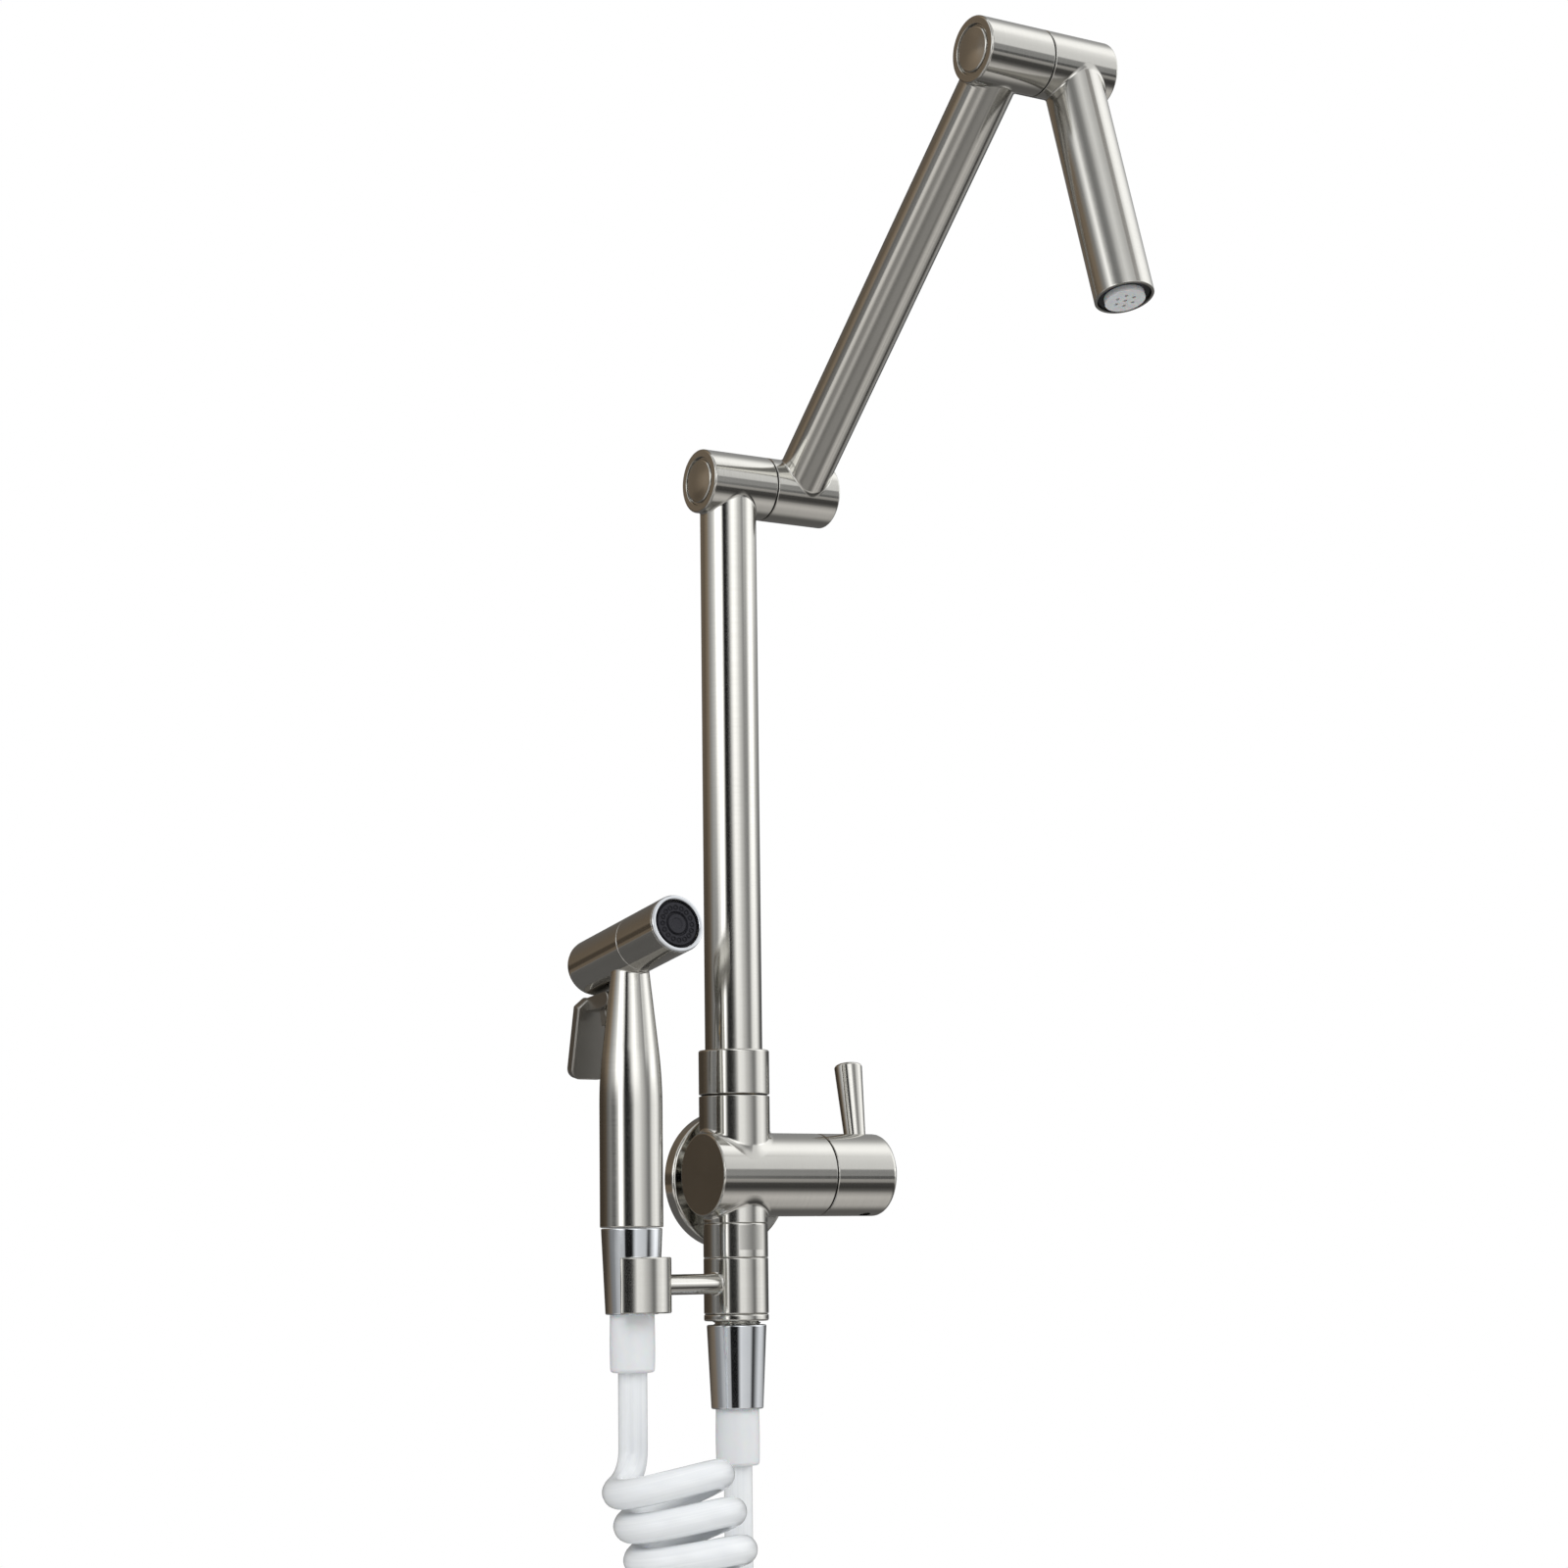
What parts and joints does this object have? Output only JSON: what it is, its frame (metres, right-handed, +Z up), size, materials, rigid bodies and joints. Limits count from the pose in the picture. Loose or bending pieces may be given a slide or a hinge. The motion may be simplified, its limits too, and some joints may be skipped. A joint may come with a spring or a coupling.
{
  "type": "wall mounted pot filler",
  "caption": "Wall mounted tap with a folding arm and spout on a turning riser, a side lever valve, and a trigger hand spray on a coiled hose in a side holder.",
  "frame": {"origin": "on the axis of the water inlet, in the plane of the wall plate's back face", "axes": "+X to the right along the valve body towards the handle, -Y away from the wall, +Z up"},
  "size_m": [0.1756, 0.2505, 0.7462],
  "materials": {
    "brushed_nickel": "satin, brushed round each piece",
    "chrome": "mirror polished",
    "brass": "machined",
    "steel": "machined",
    "ceramic": "lapped",
    "seal_rubber": "smooth",
    "spray_rubber": "matt moulded",
    "nylon": "moulded",
    "insert_plastic": "translucent moulded",
    "ferrule_plastic": "satin moulded",
    "hose_plastic": "glossy, slightly translucent"
  },
  "bodies": {
    "base": {"wall_flange": "brushed_nickel", "inlet_nipple": "brass", "valve_body": "brushed_nickel", "cartridge_seal": "seal_rubber", "fixed_ceramic_disc": "ceramic", "cartridge_housing": "brass", "cartridge_nut": "brass", "riser_spigot": "brass", "riser_orings": "seal_rubber", "riser_slip_washer": "nylon", "outlet_adaptor": "brushed_nickel", "check_valve": "nylon", "holder_sleeve": "brushed_nickel", "holder_lock_ring": "brushed_nickel", "holder_pin": "brushed_nickel", "holder_clip": "brushed_nickel", "outlet_hose_nut": "chrome", "outlet_hose_washer": "seal_rubber", "outlet_hose_ferrule": "ferrule_plastic", "spray_hose": "hose_plastic"},
    "handle": {"handle_cap": "brushed_nickel", "handle_lever": "brushed_nickel", "handle_grub_screw": "steel", "cartridge_stem": "brass", "moving_ceramic_disc": "ceramic"},
    "riser": {"riser_collar": "brushed_nickel", "collar_grub_screw": "steel", "riser_tube": "brushed_nickel", "elbow_riser_housing": "brushed_nickel", "elbow_end_cap": "brushed_nickel", "elbow_slip_washer": "nylon"},
    "arm": {"elbow_arm_housing": "brushed_nickel", "elbow_spindle": "brass", "elbow_orings": "seal_rubber", "elbow_circlip": "steel", "arm_tube": "brushed_nickel", "wrist_arm_housing": "brushed_nickel", "wrist_end_cap": "brushed_nickel", "wrist_slip_washer": "nylon"},
    "spout": {"wrist_spout_housing": "brushed_nickel", "wrist_spindle": "brass", "wrist_orings": "seal_rubber", "wrist_circlip": "steel", "spout_tube": "brushed_nickel", "aerator_housing": "steel", "aerator_insert": "insert_plastic"},
    "hand_spray": {"spray_handle": "brushed_nickel", "head_front_shell": "brushed_nickel", "head_rear_shell": "brushed_nickel", "spray_core": "nylon", "nozzle_plate": "spray_rubber", "face_ring": "chrome", "plunger_gland": "brass", "trigger_pin": "steel", "spray_hose_nut": "chrome", "spray_hose_washer": "seal_rubber", "spray_hose_ferrule": "ferrule_plastic", "plunger_spring": "steel"},
    "trigger": {"trigger": "brushed_nickel"},
    "plunger": {"plunger": "brass"}
  },
  "joints": [
    {"name": "handle_turn", "type": "hinge", "parent": "base", "child": "handle", "pos_m": [0, -0.03, 0], "axis": [1, 0, 0], "range_deg": [0, 90]},
    {"name": "riser_swivel", "type": "hinge", "parent": "base", "child": "riser", "pos_m": [-0.0125, -0.03, 0.0342], "axis": [0, 0, 1], "range_deg": [-90, 60]},
    {"name": "elbow_hinge", "type": "hinge", "parent": "riser", "child": "arm", "pos_m": [0.0055, -0.03, 0.3062], "axis": [1, 0, 0], "range_deg": [-46, 90]},
    {"name": "spout_hinge", "type": "hinge", "parent": "arm", "child": "spout", "pos_m": [0.0415, -0.19156, 0.46222], "axis": [1, 0, 0], "range_deg": [-117, 63]},
    {"name": "handset_lift", "type": "slide", "parent": "base", "child": "hand_spray", "axis": [0, 0, 1], "range_m": [0, 0.06], "deforming": ["spray_hose"]},
    {"name": "trigger_squeeze", "type": "hinge", "parent": "hand_spray", "child": "trigger", "pos_m": [-0.07556, -0.03394, 0.074], "axis": [-1, 0, 0], "range_deg": [0, 14], "stiffness_Nm_per_rad": 0.36, "springref_deg": -11.46},
    {"name": "plunger_push", "type": "slide", "parent": "hand_spray", "child": "plunger", "axis": [0, -1, 0], "range_m": [0, 0.00221], "deforming": ["plunger_spring"]}
  ],
  "couplings": [
    {"joint": "plunger_push", "follows": "trigger_squeeze", "m_per_rad": 0.009}
  ]
}
